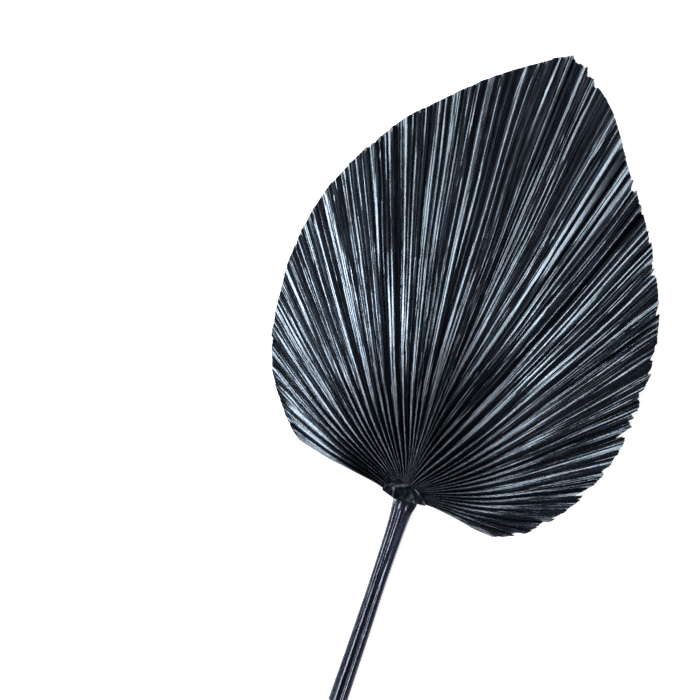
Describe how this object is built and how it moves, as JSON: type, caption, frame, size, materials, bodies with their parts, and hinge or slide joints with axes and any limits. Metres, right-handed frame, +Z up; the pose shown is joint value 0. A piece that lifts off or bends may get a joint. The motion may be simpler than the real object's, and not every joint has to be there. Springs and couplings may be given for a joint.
{
  "type": "dried fan palm leaf",
  "caption": "Dried fan palm leaf trimmed to a spade shape: a pleated black-dyed blade on a cut, channelled stem, for dry arrangements.",
  "frame": {"origin": "centre of the leaf's bounding box in plan, on the surface that the leaf lies on", "axes": "+Y along the leaf from the stem's cut end to the blade's tip, +Z up out of the leaf's face, +X to the right when the tip points away"},
  "size_m": [0.2926, 0.5294, 0.0192],
  "materials": {
    "blade": "satin",
    "stem": "satin",
    "hastula": "satin"
  },
  "bodies": {
    "root": {"blade": "blade", "stem": "stem", "hastula": "hastula"}
  },
  "joints": []
}
